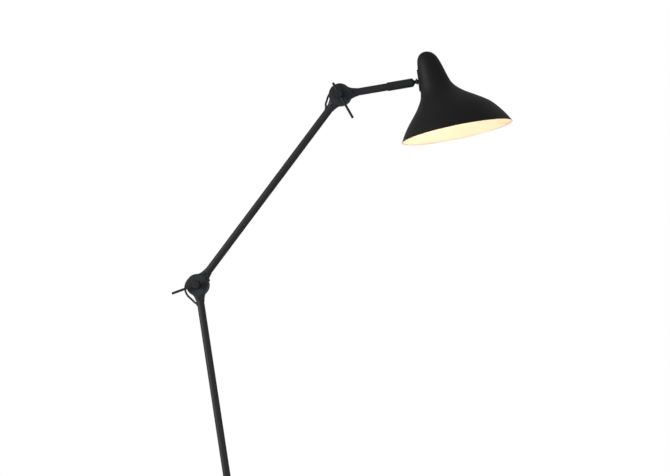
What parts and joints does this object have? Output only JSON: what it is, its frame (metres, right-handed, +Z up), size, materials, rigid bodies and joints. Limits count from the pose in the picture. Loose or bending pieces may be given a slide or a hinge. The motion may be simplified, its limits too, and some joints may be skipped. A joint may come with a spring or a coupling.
{
  "type": "adjustable arm floor lamp",
  "caption": "Floor lamp with a round weighted base, a leaning post, two arms joined by locking disc knuckles with tommy-bar screws, and a tilting hat-shaped shade.",
  "frame": {"origin": "centre of the underside of the base, on the floor", "axes": "+Z up; +X the way the arms reach, in the plane of the arms; -Y the side that the tommy bars are on"},
  "size_m": [0.8178, 0.284, 1.5443],
  "materials": {
    "tube_black": "fine matt powder coat on steel tube",
    "casting_black": "fine matt powder coat on cast aluminium",
    "hardware_black": "black coated steel",
    "shade_black": "deep matt black outside, pale cream inside, spun aluminium",
    "zinc": "bright zinc plate",
    "rubber_black": "matt",
    "cable_black": "satin cable sheath",
    "friction_fibre": "pressed fibre",
    "cast_iron": "raw casting",
    "felt_black": "felt",
    "holder_black": "moulded",
    "cap_metal": "satin",
    "bulb_glass": "opal"
  },
  "bodies": {
    "base": {"base_cover": "tube_black", "base_weight": "cast_iron", "base_felt": "felt_black", "base_nut": "zinc", "base_stud": "zinc", "base_stem": "tube_black", "stem_collar": "hardware_black", "cable_gland": "rubber_black", "foot_knuckle_base": "casting_black", "foot_clamp_nut": "zinc", "foot_base_grub_screw": "hardware_black", "foot_base_grommet": "rubber_black", "foot_friction_disc": "friction_fibre", "foot_cable_loop": "cable_black"},
    "foot_clamp": {"foot_clamp_screw": "hardware_black", "foot_tommy_bar": "hardware_black", "foot_clamp_washer": "hardware_black"},
    "post": {"foot_knuckle_post": "casting_black", "elbow_knuckle_post": "casting_black", "foot_post_grub_screw": "hardware_black", "elbow_post_grub_screw": "hardware_black", "post_tube": "tube_black", "post_lead": "cable_black", "foot_post_grommet": "rubber_black", "elbow_post_grommet": "rubber_black", "elbow_cable_loop": "cable_black"},
    "upper_arm": {"elbow_knuckle_arm": "casting_black", "upper_knuckle_arm": "casting_black", "elbow_arm_grub_screw": "hardware_black", "upper_arm_grub_screw": "hardware_black", "arm_tube": "tube_black", "arm_lead": "cable_black", "elbow_arm_grommet": "rubber_black", "upper_arm_grommet": "rubber_black", "elbow_clamp_nut": "zinc", "upper_clamp_nut": "zinc", "elbow_friction_disc": "friction_fibre", "upper_friction_disc": "friction_fibre", "upper_cable_loop": "cable_black"},
    "elbow_clamp": {"elbow_clamp_screw": "hardware_black", "elbow_tommy_bar": "hardware_black", "elbow_clamp_washer": "hardware_black"},
    "upper_clamp": {"upper_clamp_screw": "hardware_black", "upper_tommy_bar": "hardware_black", "upper_clamp_washer": "hardware_black"},
    "head_arm": {"upper_knuckle_head": "casting_black", "upper_head_grub_screw": "hardware_black", "upper_head_grommet": "rubber_black", "head_tube": "tube_black", "head_collar": "hardware_black"},
    "head_barrel": {"head_barrel": "hardware_black"},
    "shade": {"shade": "shade_black", "mount_plate": "rubber_black", "ball_stud": "hardware_black", "holder_bracket": "zinc", "stud_nut": "zinc", "lampholder": "holder_black", "bulb_cap": "cap_metal", "bulb_glass": "bulb_glass"}
  },
  "joints": [
    {"name": "foot_tilt", "type": "hinge", "parent": "base", "child": "post", "pos_m": [0, 0, 0.1], "axis": [0, 1, 0], "range_deg": [-30, 45], "deforming": ["foot_cable_loop"]},
    {"name": "elbow_tilt", "type": "hinge", "parent": "post", "child": "upper_arm", "pos_m": [-0.14079, 0, 0.98892], "axis": [0, 1, 0], "range_deg": [-45, 60], "deforming": ["elbow_cable_loop"]},
    {"name": "head_arm_tilt", "type": "hinge", "parent": "upper_arm", "child": "head_arm", "pos_m": [0.20583, 0, 1.44393], "axis": [0, 1, 0], "range_deg": [-44, 60], "deforming": ["upper_cable_loop"]},
    {"name": "head_swivel", "type": "hinge", "parent": "head_arm", "child": "head_barrel", "pos_m": [0.33022, 0, 1.46274], "axis": [0.9888, 0, 0.1495], "range_deg": [-160, 160]},
    {"name": "shade_tilt", "type": "hinge", "parent": "head_barrel", "child": "shade", "pos_m": [0.37956, 0, 1.4702], "axis": [0, 1, 0], "range_deg": [-30, 30]},
    {"name": "foot_clamp_turn", "type": "hinge", "parent": "base", "child": "foot_clamp", "pos_m": [0, 0, 0.1], "axis": [0, 1, 0], "range_deg": [-180, 0]},
    {"name": "elbow_clamp_turn", "type": "hinge", "parent": "upper_arm", "child": "elbow_clamp", "pos_m": [-0.14079, 0, 0.98892], "axis": [0, 1, 0], "range_deg": [-180, 0]},
    {"name": "upper_clamp_turn", "type": "hinge", "parent": "upper_arm", "child": "upper_clamp", "pos_m": [0.20583, 0, 1.44393], "axis": [0, 1, 0], "range_deg": [-180, 0]}
  ]
}
